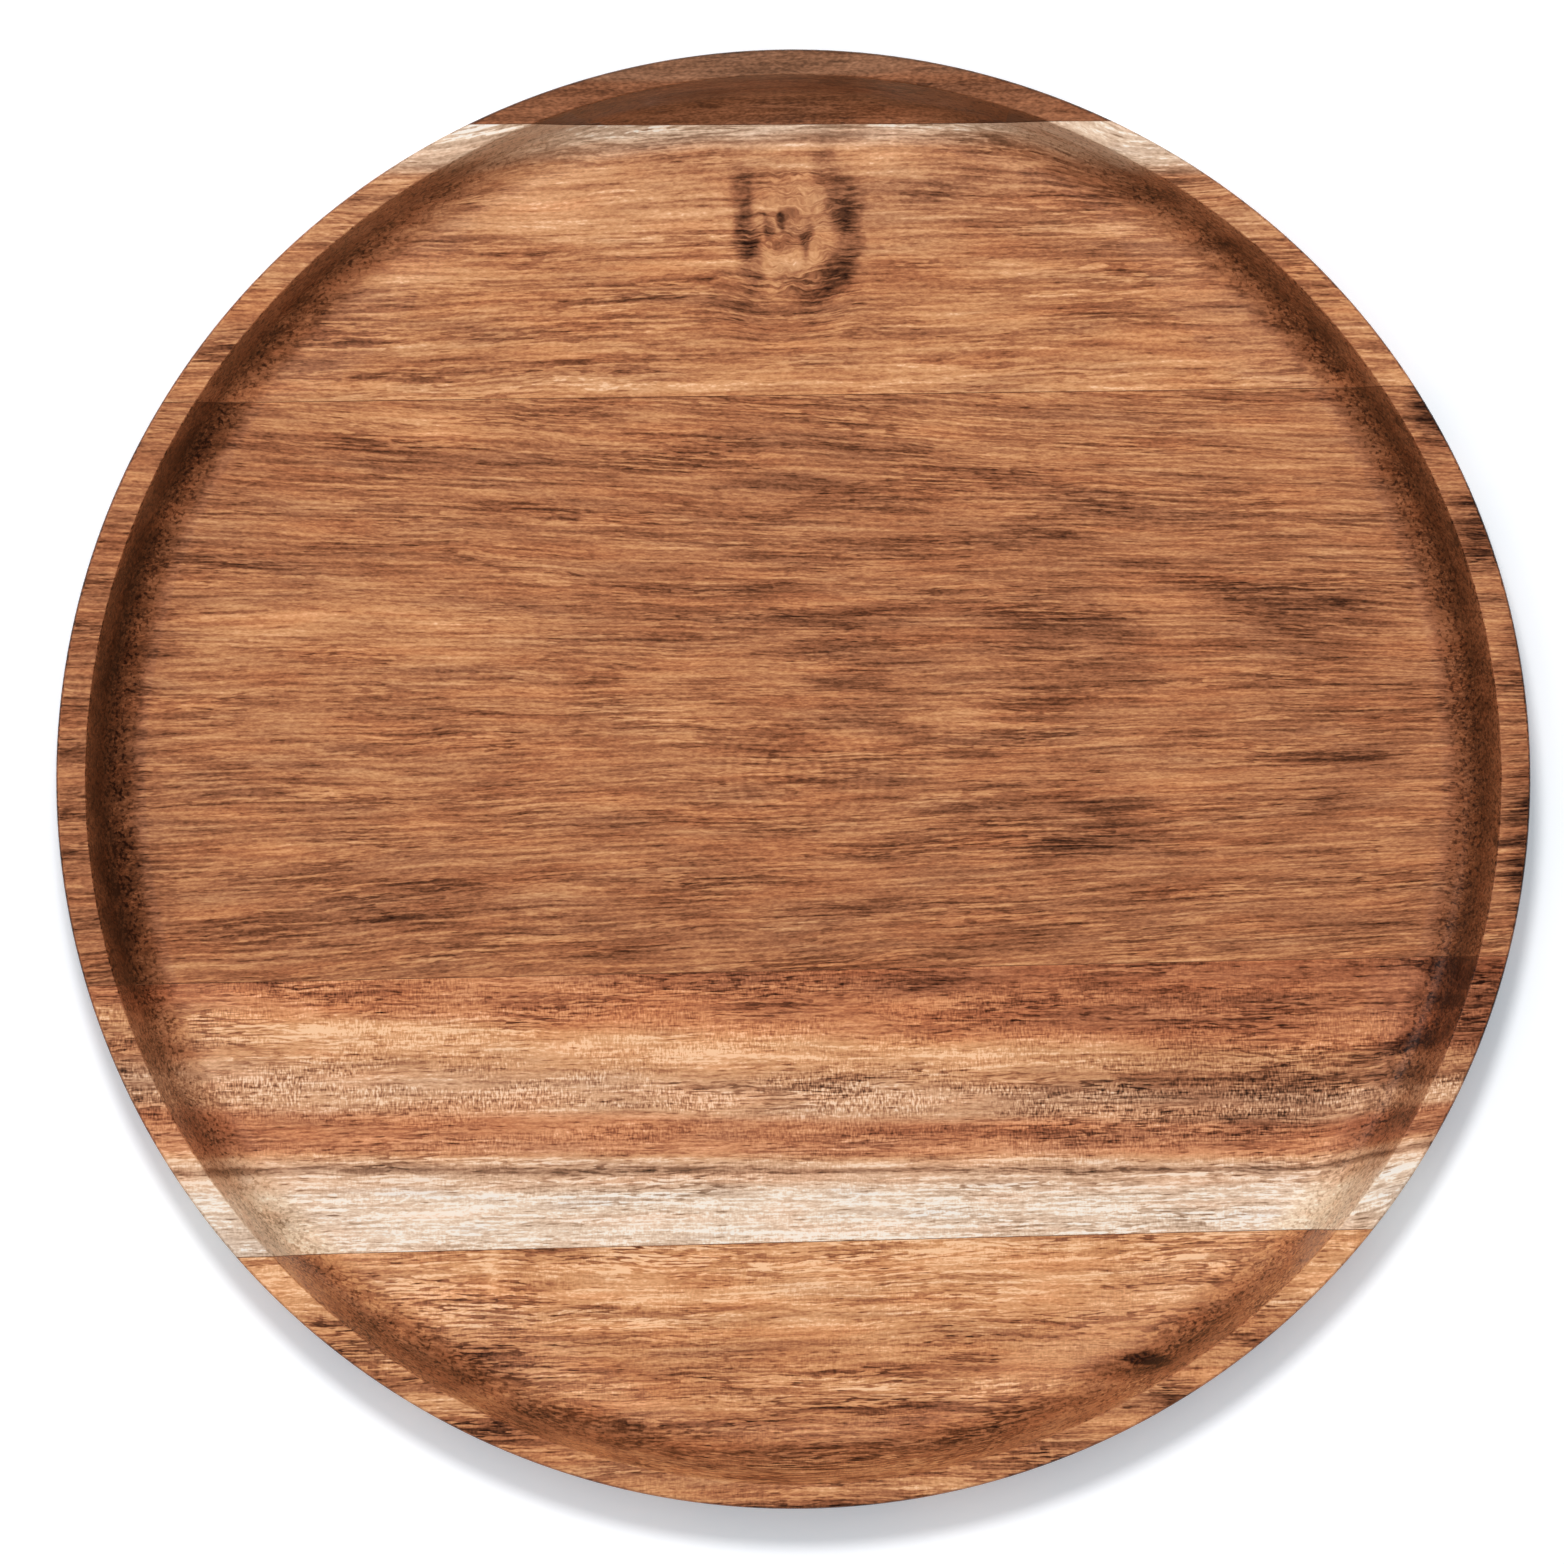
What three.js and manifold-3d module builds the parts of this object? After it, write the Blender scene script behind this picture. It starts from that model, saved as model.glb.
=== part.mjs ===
// A round serving tray turned from a panel of five hardwood staves glued edge to edge.
// Millimetres. +Z is up, +X runs along the grain, +Y points to the back of the tray,
// and the origin is the centre of the base.
import * as THREE from "three";
import { mergeVertices } from "three/addons/utils/BufferGeometryUtils.js";
import Module from "manifold-3d";

const wasm = await Module();
wasm.setup();

// Overall size of the turned disc
const DIAMETER = 300; // as turned, and still the length along the grain
const WIDTH = 296.9; // across the grain, where the wood has drawn in as it dried
const HEIGHT = 22;
const FLOOR_THICKNESS = 8;

// Turned section: side, rim and well
const SIDE_DRAFT = 4; // degrees that the outside leans out towards the rim
const RIM_WIDTH = 6.1; // at the ends of the grain
const RIM_WIDTH_ACROSS = 5.1; // at the back and the front
const WALL_DRAFT = 20; // degrees that the well's wall leans out towards the rim
const BASE_EDGE_RADIUS = 3;
const RIM_OUTER_RADIUS = 0.7;
const RIM_INNER_RADIUS = 0.5;
const COVE_RADIUS = 9.5; // between the wall and the floor of the well

// Staves, from back to front, measured at the middle of the tray.
// The centre stave takes what the others leave of the disc.
const BACK_STAVE_WIDTH = 15;
const KNOTTED_STAVE_WIDTH = 55.2;
const SAPWOOD_STAVE_WIDTH = 55.4;
const FRONT_STAVE_WIDTH = 54.1;

// The staves taper a little, so each joint is skewed from the grain, in degrees
const BACK_JOINT_SKEW = -0.63;
const KNOTTED_JOINT_SKEW = -0.17;
const SAPWOOD_JOINT_SKEW = 0.3;
const FRONT_JOINT_SKEW = 0.51;

// Glue films
const GLUE_THICKNESS = 0.2;
const GLUE_CLEARANCE = 0.05; // between a film and each stave beside it

// How closely flat facets follow the round surfaces
const CHORD_ERROR = 0.05;

// Room by which a cutting block passes the disc
const CUT_MARGIN = 5;

const RADIUS = DIAMETER / 2;
const HALF_WIDTH = WIDTH / 2;
const WELL_RADIUS = RADIUS - RIM_WIDTH;
const WELL_HALF_WIDTH = HALF_WIDTH - RIM_WIDTH_ACROSS;
const WELL_DEPTH = HEIGHT - FLOOR_THICKNESS;
const degrees = THREE.MathUtils.degToRad;

// Number of straight facets that keep an arc within the chord error.
function facets(radius, sweep) {
  const step = 2 * Math.acos(1 - CHORD_ERROR / radius);
  return Math.ceil(Math.abs(sweep) / step);
}

// The points of an arc of the given radius that rounds a corner between its two neighbours.
function roundedCorner(before, corner, after, radius) {
  const toBefore = before.clone().sub(corner).normalize();
  const toAfter = after.clone().sub(corner).normalize();
  const halfAngle = Math.acos(toBefore.dot(toAfter)) / 2;
  const bisector = toBefore.clone().add(toAfter).normalize();
  const centre = bisector.multiplyScalar(radius / Math.sin(halfAngle)).add(corner);
  const setback = radius / Math.tan(halfAngle);
  const start = toBefore.multiplyScalar(setback).add(corner).sub(centre);
  const end = toAfter.multiplyScalar(setback).add(corner).sub(centre);
  const clockwise = start.cross(end) < 0;
  const arc = new THREE.EllipseCurve(
    centre.x, centre.y, radius, radius, start.angle(), end.angle(), clockwise,
  );
  return arc.getPoints(facets(radius, Math.PI - 2 * halfAngle));
}

// The (radius, height) points of a half-section whose corners may each have a radius.
function roundedSection(corners) {
  return corners.flatMap(({ at, radius }, i) =>
    radius ? roundedCorner(corners[i - 1].at, at, corners[i + 1].at, radius) : [at],
  );
}

// Half-section of the disc with no well: base, side and top.
function discSection() {
  const sideLean = HEIGHT * Math.tan(degrees(SIDE_DRAFT));
  return roundedSection([
    { at: new THREE.Vector2(0, 0) },
    { at: new THREE.Vector2(RADIUS - sideLean, 0), radius: BASE_EDGE_RADIUS },
    { at: new THREE.Vector2(RADIUS, HEIGHT), radius: RIM_OUTER_RADIUS },
    { at: new THREE.Vector2(0, HEIGHT) },
  ]);
}

// Half-section of what is turned out for the well: floor, cove, wall and the rim's inner edge.
function wellSection() {
  const wallLean = WELL_DEPTH * Math.tan(degrees(WALL_DRAFT));
  const floor = new THREE.Vector2(0, FLOOR_THICKNESS);
  const wallFoot = new THREE.Vector2(WELL_RADIUS - wallLean, FLOOR_THICKNESS);
  const wallTop = new THREE.Vector2(WELL_RADIUS, HEIGHT);
  const rimOutside = new THREE.Vector2(RADIUS, HEIGHT);
  const rimEdge = roundedCorner(wallFoot, wallTop, rimOutside, RIM_INNER_RADIUS);
  const mouthRadius = rimEdge.at(-1).x;
  return [
    floor,
    ...roundedCorner(floor, wallFoot, wallTop, COVE_RADIUS),
    ...rimEdge,
    new THREE.Vector2(mouthRadius, HEIGHT + CUT_MARGIN),
    new THREE.Vector2(0, HEIGHT + CUT_MARGIN),
  ];
}

// A closed three.js geometry as a solid that can be cut.
function solidOf(geometry) {
  const bare = geometry.clone();
  bare.deleteAttribute("normal");
  bare.deleteAttribute("uv");
  const merged = mergeVertices(bare, 1e-4);
  const corners = merged.index.array;
  const triVerts = [];
  for (let i = 0; i < corners.length; i += 3) {
    const [a, b, c] = corners.slice(i, i + 3);
    const isFlat = a === b || b === c || c === a; // the lathe leaves these on its axis
    if (!isFlat) triVerts.push(a, b, c);
  }
  return new wasm.Manifold(
    new wasm.Mesh({
      numProp: 3,
      vertProperties: merged.attributes.position.array,
      triVerts: new Uint32Array(triVerts),
    }),
  );
}

// A cut solid as a three.js geometry.
function geometryOf(solid) {
  const mesh = solid.getMesh();
  const geometry = new THREE.BufferGeometry();
  geometry.setAttribute("position", new THREE.BufferAttribute(mesh.vertProperties, 3));
  geometry.setIndex(new THREE.BufferAttribute(mesh.triVerts, 1));
  geometry.computeVertexNormals();
  return geometry;
}

// A half-section turned about the upright axis, then drawn in across the grain.
function turned(section, acrossOverAlong) {
  const lathe = new THREE.LatheGeometry(section, facets(RADIUS, 2 * Math.PI));
  lathe.rotateX(Math.PI / 2);
  lathe.scale(1, acrossOverAlong, 1);
  return solidOf(lathe);
}

// A joint plane stands upright on the line through (0, y), turned by its skew from the grain.
// The edge beside it lies a little to the back (positive shift) or the front (negative shift).
function jointEdge(joint, shift) {
  const reach = RADIUS + CUT_MARGIN;
  const y = joint.y + shift / Math.cos(joint.skew);
  const rise = reach * Math.tan(joint.skew);
  return [new THREE.Vector2(-reach, y - rise), new THREE.Vector2(reach, y + rise)];
}

// A straight edge that lies clear of the disc, behind it (side +1) or in front of it (side -1).
function outsideEdge(side) {
  const reach = RADIUS + CUT_MARGIN;
  return [new THREE.Vector2(-reach, side * reach), new THREE.Vector2(reach, side * reach)];
}

// An upright block between a back edge and a front edge, thicker than the tray.
function blockBetween(backEdge, frontEdge) {
  const plan = new THREE.Shape([...frontEdge, ...backEdge.slice().reverse()]);
  const block = new THREE.ExtrudeGeometry(plan, {
    depth: HEIGHT + 2 * CUT_MARGIN,
    bevelEnabled: false,
  });
  block.translate(0, 0, -CUT_MARGIN);
  return solidOf(block);
}

const backJointY = HALF_WIDTH - BACK_STAVE_WIDTH;
const frontJointY = FRONT_STAVE_WIDTH - HALF_WIDTH;
const joints = [
  { name: "glue_back_to_knotted", y: backJointY, skew: degrees(BACK_JOINT_SKEW) },
  {
    name: "glue_knotted_to_centre",
    y: backJointY - KNOTTED_STAVE_WIDTH,
    skew: degrees(KNOTTED_JOINT_SKEW),
  },
  {
    name: "glue_centre_to_sapwood",
    y: frontJointY + SAPWOOD_STAVE_WIDTH,
    skew: degrees(SAPWOOD_JOINT_SKEW),
  },
  { name: "glue_sapwood_to_front", y: frontJointY, skew: degrees(FRONT_JOINT_SKEW) },
];

const staves = [
  { name: "back_stave", colour: "#7a4b35" },
  { name: "knotted_stave", colour: "#b98252" },
  { name: "centre_stave", colour: "#a86b42" },
  { name: "sapwood_stave", colour: "#c8966a" },
  { name: "front_stave", colour: "#bd8450" },
];
const GLUE_COLOUR = "#4a2f1f";

const oiledWood = (color) =>
  new THREE.MeshStandardMaterial({ color, roughness: 0.5, metalness: 0 });
const curedGlue = new THREE.MeshStandardMaterial({
  color: GLUE_COLOUR,
  roughness: 0.6,
  metalness: 0,
});

const tray = new THREE.Group();
tray.name = "serving_tray";
const disc = turned(discSection(), HALF_WIDTH / RADIUS);
const well = turned(wellSection(), WELL_HALF_WIDTH / WELL_RADIUS);
const turnedPanel = disc.subtract(well);

function addPiece(name, block, material) {
  const mesh = new THREE.Mesh(geometryOf(turnedPanel.intersect(block)), material);
  mesh.name = name;
  tray.add(mesh);
}

const staveSetback = GLUE_THICKNESS / 2 + GLUE_CLEARANCE;
staves.forEach(({ name, colour }, i) => {
  const backEdge = i > 0 ? jointEdge(joints[i - 1], -staveSetback) : outsideEdge(1);
  const frontEdge = i < joints.length ? jointEdge(joints[i], staveSetback) : outsideEdge(-1);
  addPiece(name, blockBetween(backEdge, frontEdge), oiledWood(colour));
});

joints.forEach((joint) => {
  const backEdge = jointEdge(joint, GLUE_THICKNESS / 2);
  const frontEdge = jointEdge(joint, -GLUE_THICKNESS / 2);
  addPiece(joint.name, blockBetween(backEdge, frontEdge), curedGlue);
});

export default tray;
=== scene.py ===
# %% [markdown]
# # A round serving tray in oiled hardwood
#
# The tray is five boards glued edge to edge, then turned on a lathe into one shallow disc.
# Its shape is simple, so nearly all of its looks come from the wood.
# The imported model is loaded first, as a fixed frame, because every visible piece has to sit
# exactly where a solid of the frame sits.

# %% Load the frame
import math

import bmesh
import bpy
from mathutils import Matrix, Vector


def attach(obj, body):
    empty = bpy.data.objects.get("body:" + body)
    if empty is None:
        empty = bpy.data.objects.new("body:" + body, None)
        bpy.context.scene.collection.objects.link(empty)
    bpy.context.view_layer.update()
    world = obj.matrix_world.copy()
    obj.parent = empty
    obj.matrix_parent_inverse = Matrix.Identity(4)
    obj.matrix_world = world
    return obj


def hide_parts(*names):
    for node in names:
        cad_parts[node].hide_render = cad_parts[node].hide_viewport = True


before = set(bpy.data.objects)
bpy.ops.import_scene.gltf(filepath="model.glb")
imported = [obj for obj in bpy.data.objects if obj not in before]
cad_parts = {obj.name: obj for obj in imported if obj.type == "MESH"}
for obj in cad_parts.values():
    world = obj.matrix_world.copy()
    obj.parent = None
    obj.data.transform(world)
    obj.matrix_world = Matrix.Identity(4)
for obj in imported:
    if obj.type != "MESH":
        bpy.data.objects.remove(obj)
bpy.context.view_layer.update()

# %% [markdown]
# ## The camera
#
# The photograph looks straight down, and the walls show alike on all sides, so it was taken from
# far off. A long lens does the same here. The lens length follows from the width that the picture
# covers and the distance, and the camera is rolled a little because the grain isn't quite level.

# %% Camera
MM = 0.001
HEIGHT = 22.0
SENSOR = 36.0
CAMERA_DISTANCE = 4800.0
PICTURE_WIDTH = 317.84
PICTURE_CENTRE = (-2.31, -0.54)
GRAIN_ROLL = math.radians(0.93)
FARTHEST_SEEN = 100.0

camera_data = bpy.data.cameras.new("camera")
camera_data.sensor_width = SENSOR
camera_data.lens = SENSOR * CAMERA_DISTANCE / PICTURE_WIDTH
camera_data.clip_end = FARTHEST_SEEN
camera = bpy.data.objects.new("camera", camera_data)
bpy.context.collection.objects.link(camera)
camera.location = Vector((*PICTURE_CENTRE, HEIGHT + CAMERA_DISTANCE)) * MM
camera.rotation_euler = (0.0, 0.0, -GRAIN_ROLL)
bpy.context.scene.camera = camera
print("lens, mm:", round(camera_data.lens, 1))

# %% [markdown]
# ## Small helpers for node materials
#
# A material is a graph of nodes. These helpers each add one node, set or link its inputs and
# give back its output, so that the recipes further down read like sums.

# %% Node helpers
def node(tree, kind, inputs, **settings):
    made = tree.nodes.new(kind)
    for name, value in settings.items():
        setattr(made, name, value)
    for key_name, value in inputs.items():
        if isinstance(value, bpy.types.NodeSocket):
            tree.links.new(value, made.inputs[key_name])
        else:
            made.inputs[key_name].default_value = value
    return made


def maths(tree, operation, a, b=0.0, c=0.0):
    return node(tree, "ShaderNodeMath", {0: a, 1: b, 2: c}, operation=operation).outputs[0]


def vector_maths(tree, operation, a, b=(0.0, 0.0, 0.0), c=(0.0, 0.0, 0.0)):
    inputs = {0: a, 1: b}
    if operation == "MULTIPLY_ADD":
        inputs[2] = c
    return node(tree, "ShaderNodeVectorMath", inputs, operation=operation).outputs[0]


def combine(tree, x, y, z):
    return node(tree, "ShaderNodeCombineXYZ", {0: x, 1: y, 2: z}).outputs[0]


def smooth_step(tree, value, low, high):
    ranged = node(
        tree, "ShaderNodeMapRange",
        {"Value": value, "From Min": low, "From Max": high},
        interpolation_type="SMOOTHSTEP",
    )
    return ranged.outputs["Result"]


def grain_noise(tree, point, size, detail=2.0, roughness=0.55):
    scaled = vector_maths(tree, "MULTIPLY", point, [1.0 / s for s in size])
    noise = node(
        tree, "ShaderNodeTexNoise",
        {"Vector": scaled, "Scale": 1.0, "Detail": detail, "Roughness": roughness},
    )
    # Noise runs from 0 to 1, so half is taken off and it swings about zero.
    return maths(tree, "SUBTRACT", noise.outputs["Fac"], 0.5)


def mix_colour(tree, factor, a, b, blend="MIX"):
    # A Mix node holds sockets for every kind of data. Its colours are inputs 6 and 7, and output 2.
    mixed = node(
        tree, "ShaderNodeMix", {0: factor, 6: a, 7: b},
        data_type="RGBA", blend_type=blend,
    )
    return mixed.outputs[2]


def paint(code):
    # The usual curve from screen values to amounts of light.
    def linear(value):
        return value / 12.92 if value <= 0.04045 else ((value + 0.055) / 1.055) ** 2.4

    parts = [int(code[i:i + 2], 16) / 255.0 for i in (1, 3, 5)]
    return (*[linear(p) for p in parts], 1.0)


print("a mid brown is", [round(v, 3) for v in paint("#a66946")])

# %% [markdown]
# ## The light
#
# The shadow falls to the front and a little to the right, and its edge is soft, so one panel
# stands high up at the back, a little to the left. A much wider panel overhead does most of the
# rest, because the wall of the well is dark all round, and an even white room fills in.
# Each light is given as its share of the brightness of a level white sheet. The shares add up to
# about one and the view transform is the plain one, so a colour renders about as it is written.
# The room itself looks white, which shows only where the camera looks past the ground.
# Seen from above, the floor is deep in colour and mirrors no light, so the lamps above are left
# out of reflections. The wood still mirrors itself, which makes the walls glow with the colour of
# the floor, and a weak panel low at the left gives a satin sheen when it is seen from the side.

# %% Lights
def panel_light(name, direction, distance, size, share, mirrored):
    lamp = bpy.data.lights.new(name, "AREA")
    lamp.shape = "DISK"
    lamp.size = size
    lamp.energy = share * math.pi ** 2 * (distance ** 2 + (size / 2) ** 2)
    panel = bpy.data.objects.new(name, lamp)
    bpy.context.collection.objects.link(panel)
    towards = Vector(direction).normalized()
    panel.location = towards * distance
    panel.rotation_euler = towards.to_track_quat("Z", "Y").to_euler()
    panel.visible_glossy = mirrored
    print(name, "watts:", round(lamp.energy, 1))


panel_light(
    "back_panel", direction=(-0.05, 0.33, 1.0), distance=2.4, size=0.35, share=0.44, mirrored=False,
)
panel_light(
    "overhead_panel", direction=(-0.08, 0.12, 1.0), distance=6.0, size=7.0, share=0.34, mirrored=False,
)
panel_light(
    "side_panel", direction=(-1.0, 0.5, 0.55), distance=3.0, size=1.2, share=0.05, mirrored=True,
)

# %% White room
ROOM_SHARE = 0.2
PLAIN_WHITE = (1.0, 1.0, 1.0, 1.0)

world = bpy.data.worlds.new("white_room")
bpy.context.scene.world = world
world.use_nodes = True
room_tree = world.node_tree
room_tree.nodes.clear()
looked_at = node(room_tree, "ShaderNodeLightPath", {}).outputs["Is Camera Ray"]
brightness = maths(room_tree, "MULTIPLY_ADD", looked_at, 1.0 - ROOM_SHARE, ROOM_SHARE)
room = node(room_tree, "ShaderNodeBackground", {"Color": PLAIN_WHITE, "Strength": brightness})
node(room_tree, "ShaderNodeOutputWorld", {"Surface": room.outputs[0]})
world.cycles_visibility.glossy = False
bpy.context.scene.view_settings.view_transform = "Standard"
print("share of the light from the room:", ROOM_SHARE)

# %% [markdown]
# ## The ground
#
# The ground is a white sheet, a trace on the cool side. It lies a hair below the base of the tray,
# because two faces in one plane flicker. Seen by the camera or in a reflection it also glows a
# little, which lifts the shadow to a light cool grey without putting more light on the tray.

# %% Ground sheet
GROUND_SIZE = 12.0
GROUND_DROP = 0.0001
SHADOW_LIFT = 0.23
SHADOW_TINT = (0.78, 0.89, 1.0, 1.0)
SHEET_WHITE = (0.965, 0.98, 1.0, 1.0)

ground_shape = bmesh.new()
bmesh.ops.create_grid(ground_shape, x_segments=1, y_segments=1, size=GROUND_SIZE / 2)
bmesh.ops.translate(ground_shape, vec=(0.0, 0.0, -GROUND_DROP), verts=ground_shape.verts[:])
ground_mesh = bpy.data.meshes.new("ground")
ground_shape.to_mesh(ground_mesh)
ground_shape.free()
ground = bpy.data.objects.new("ground", ground_mesh)
bpy.context.collection.objects.link(ground)

ground_paint = bpy.data.materials.new("white_ground")
ground_paint.use_nodes = True
ground_tree = ground_paint.node_tree
ground_tree.nodes.clear()
sheet = node(ground_tree, "ShaderNodeBsdfDiffuse", {"Color": SHEET_WHITE})
ray = node(ground_tree, "ShaderNodeLightPath", {}).outputs
reflected = maths(ground_tree, "MAXIMUM", ray["Is Glossy Ray"], ray["Is Transmission Ray"])
seen = maths(ground_tree, "MAXIMUM", ray["Is Camera Ray"], reflected)
lift = maths(ground_tree, "MULTIPLY", seen, SHADOW_LIFT)
glow = node(ground_tree, "ShaderNodeEmission", {"Color": SHADOW_TINT, "Strength": lift})
lifted = node(ground_tree, "ShaderNodeAddShader", {0: sheet.outputs[0], 1: glow.outputs[0]})
node(ground_tree, "ShaderNodeOutputMaterial", {"Surface": lifted.outputs[0]})
ground_mesh.materials.append(ground_paint)
print("ground sheet,", GROUND_SIZE, "m wide")

# %% [markdown]
# ## The turned panel
#
# On the lathe a single section makes the whole tray: base, side, rim, wall, cove and floor.
# The half-section is drawn like pen strokes. A straight stroke extrudes the last point,
# and a round one spins it about the centre of its arc. A full spin then turns the section.

# %% Half-section
LENGTH = 299.78
WIDTH = 296.78
FLOOR_THICKNESS = 8.0
SIDE_DRAFT = math.radians(4.0)
WALL_DRAFT = math.radians(20.0)
RIM_WIDTH = 6.1
RIM_WIDTH_ACROSS = 5.1
BASE_EDGE_RADIUS = 3.0
RIM_OUTER_RADIUS = 0.7
RIM_INNER_RADIUS = 0.5
COVE_RADIUS = 9.5
RADIUS = LENGTH / 2
WELL_RADIUS = RADIUS - RIM_WIDTH
WELL_HALF_WIDTH = WIDTH / 2 - RIM_WIDTH_ACROSS
ARC_STEP = math.radians(5.0)
ROUNDING_ROOM = 0.002


def straight_stroke(shape, pen, end):
    grown = bmesh.ops.extrude_vert_indiv(shape, verts=[pen])["verts"][0]
    grown.co = end
    return grown


def round_stroke(shape, pen, corner, towards, radius):
    arriving = (pen.co - corner).normalized()
    leaving = (towards - corner).normalized()
    half_angle = arriving.angle(leaving) / 2
    bisector = (arriving + leaving).normalized()
    centre = corner + bisector * (radius / math.sin(half_angle))
    pen = straight_stroke(shape, pen, corner + arriving * (radius / math.tan(half_angle)))
    sweep = math.pi - 2 * half_angle
    spun = bmesh.ops.spin(
        shape, geom=[pen], cent=centre, axis=leaving.cross(arriving),
        angle=sweep, steps=math.ceil(sweep / ARC_STEP),
    )
    return next(part for part in spun["geom_last"] if isinstance(part, bmesh.types.BMVert))


def at(radius, height):
    return Vector((radius, 0.0, height))


base_corner = at(RADIUS - HEIGHT * math.tan(SIDE_DRAFT), 0.0)
rim_corner = at(RADIUS, HEIGHT - ROUNDING_ROOM)
wall_top = at(WELL_RADIUS, HEIGHT - ROUNDING_ROOM)
wall_foot = at(WELL_RADIUS - (HEIGHT - FLOOR_THICKNESS) * math.tan(WALL_DRAFT), FLOOR_THICKNESS)
floor_centre = at(0.0, FLOOR_THICKNESS)

panel = bmesh.new()
pen = panel.verts.new(at(0.0, 0.0))
pen = round_stroke(panel, pen, base_corner, rim_corner, BASE_EDGE_RADIUS)
pen = round_stroke(panel, pen, rim_corner, wall_top, RIM_OUTER_RADIUS)
pen = round_stroke(panel, pen, wall_top, wall_foot, RIM_INNER_RADIUS)
pen = round_stroke(panel, pen, wall_foot, floor_centre, COVE_RADIUS)
straight_stroke(panel, pen, floor_centre)
print("half-section points:", len(panel.verts))

# %% [markdown]
# ## Turning and drying
#
# After the spin the disc is round. Wood shrinks across the grain as it dries, so the real tray
# is a slight oval, and its rim is a little narrower at the back and the front than at the sides.
# The outside and the well are therefore drawn in by different amounts.

# %% Turned disc
TURN_STEPS = 288
MERGE_DISTANCE = 1e-4

bmesh.ops.spin(
    panel, geom=panel.verts[:] + panel.edges[:], cent=(0.0, 0.0, 0.0), axis=(0.0, 0.0, 1.0),
    angle=math.tau, steps=TURN_STEPS, use_merge=True,
)
bmesh.ops.remove_doubles(panel, verts=panel.verts[:], dist=MERGE_DISTANCE)
bmesh.ops.recalc_face_normals(panel, faces=panel.faces[:])

outside_draw = WIDTH / LENGTH
well_draw = WELL_HALF_WIDTH / WELL_RADIUS
rim_middle = RADIUS - RIM_WIDTH / 2
well_points = [
    v for v in panel.verts
    if v.co.z > FLOOR_THICKNESS - MERGE_DISTANCE and v.co.xy.length < rim_middle
]
inside = set(well_points)
outside_points = [v for v in panel.verts if v not in inside]
bmesh.ops.scale(panel, vec=(1.0, outside_draw, 1.0), verts=outside_points)
bmesh.ops.scale(panel, vec=(1.0, well_draw, 1.0), verts=well_points)
print("turned disc:", len(panel.faces), "faces, volume, cm3:", round(panel.calc_volume() / 1000, 1))

# %% [markdown]
# ## Cutting the disc into boards
#
# Each joint is an upright plane. Cutting copies of the disc at the planes gives the five boards,
# and the thin slice left between two of them is the glue line. Rim, wall and floor then meet
# exactly across each joint, as they do when the glued panel is turned in one go.

# %% Joints
GLUE_THICKNESS = 0.12
GLUE_CLEARANCE = 0.01
JOINTS = {
    "glue_back_to_knotted": (133.45, math.radians(-0.63)),
    "glue_knotted_to_centre": (78.25, math.radians(-0.17)),
    "glue_centre_to_sapwood": (-38.95, math.radians(0.3)),
    "glue_sapwood_to_front": (-94.35, math.radians(0.51)),
}


def cut_away(shape, joint, shift, keep_front):
    y, skew = JOINTS[joint]
    across = Vector((-math.sin(skew), math.cos(skew), 0.0))
    cut = bmesh.ops.bisect_plane(
        shape, geom=shape.verts[:] + shape.edges[:] + shape.faces[:], dist=MERGE_DISTANCE,
        plane_co=Vector((0.0, y, 0.0)) + across * shift, plane_no=across,
        clear_outer=keep_front, clear_inner=not keep_front,
    )
    rim = [part for part in cut["geom_cut"] if isinstance(part, bmesh.types.BMEdge)]
    bmesh.ops.edgeloop_fill(shape, edges=rim)


SHARP_ANGLE = math.radians(40.0)


def finish_piece(shape, name):
    bmesh.ops.scale(shape, vec=(MM, MM, MM), verts=shape.verts[:])
    bmesh.ops.recalc_face_normals(shape, faces=shape.faces[:])
    mesh = bpy.data.meshes.new(name)
    shape.to_mesh(mesh)
    shape.free()
    mesh.shade_smooth()
    mesh.set_sharp_from_angle(angle=SHARP_ANGLE)
    piece = bpy.data.objects.new(name, mesh)
    bpy.context.collection.objects.link(piece)
    even = piece.modifiers.new("even_shading", "WEIGHTED_NORMAL")
    even.keep_sharp = True
    return piece


print("joints at y, mm:", [round(y, 1) for y, skew in JOINTS.values()])

# %% Boards and glue lines
STAVE_JOINTS = {
    "back_stave": (None, "glue_back_to_knotted"),
    "knotted_stave": ("glue_back_to_knotted", "glue_knotted_to_centre"),
    "centre_stave": ("glue_knotted_to_centre", "glue_centre_to_sapwood"),
    "sapwood_stave": ("glue_centre_to_sapwood", "glue_sapwood_to_front"),
    "front_stave": ("glue_sapwood_to_front", None),
}
stave_setback = GLUE_THICKNESS / 2 + GLUE_CLEARANCE
boards = {}
for stave, (behind, before) in STAVE_JOINTS.items():
    shape = panel.copy()
    if behind:
        cut_away(shape, behind, -stave_setback, keep_front=True)
    if before:
        cut_away(shape, before, stave_setback, keep_front=False)
    boards[stave] = finish_piece(shape, stave + "_wood")

glue_lines = {}
for joint in JOINTS:
    shape = panel.copy()
    cut_away(shape, joint, GLUE_THICKNESS / 2, keep_front=True)
    cut_away(shape, joint, -GLUE_THICKNESS / 2, keep_front=False)
    glue_lines[joint] = finish_piece(shape, joint + "_film")
panel.free()
for name, piece in {**boards, **glue_lines}.items():
    print(name, len(piece.data.polygons), "faces")

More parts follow.
